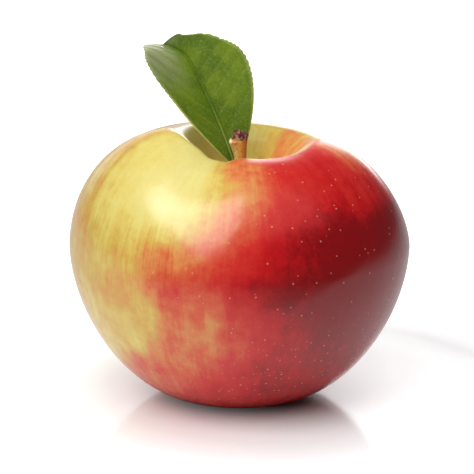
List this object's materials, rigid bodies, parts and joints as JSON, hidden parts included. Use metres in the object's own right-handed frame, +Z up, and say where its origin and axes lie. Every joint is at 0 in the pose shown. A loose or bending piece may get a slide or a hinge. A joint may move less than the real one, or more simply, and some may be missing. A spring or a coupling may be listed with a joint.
{
  "type": "apple",
  "caption": "Ripe blushed apple with its woody stem and one green leaf, standing on a narrow flat ring around the dried calyx underneath.",
  "frame": {"origin": "on the surface that the apple stands on, under the middle of the fruit", "axes": "+Z up through the fruit and its stem, -Y the front, the leaf leans towards -X"},
  "size_m": [0.0804, 0.0804, 0.0862],
  "materials": {
    "skin": "waxy gloss",
    "stem_bark": "rough bark",
    "leaf_green": "satin cuticle",
    "dried_calyx": "dry and dull"
  },
  "bodies": {
    "root": {"fruit": "skin", "stem": "stem_bark", "leaf": "leaf_green", "sepal_1": "dried_calyx", "sepal_2": "dried_calyx", "sepal_3": "dried_calyx", "sepal_4": "dried_calyx", "sepal_5": "dried_calyx", "stamens": "dried_calyx"}
  },
  "joints": []
}
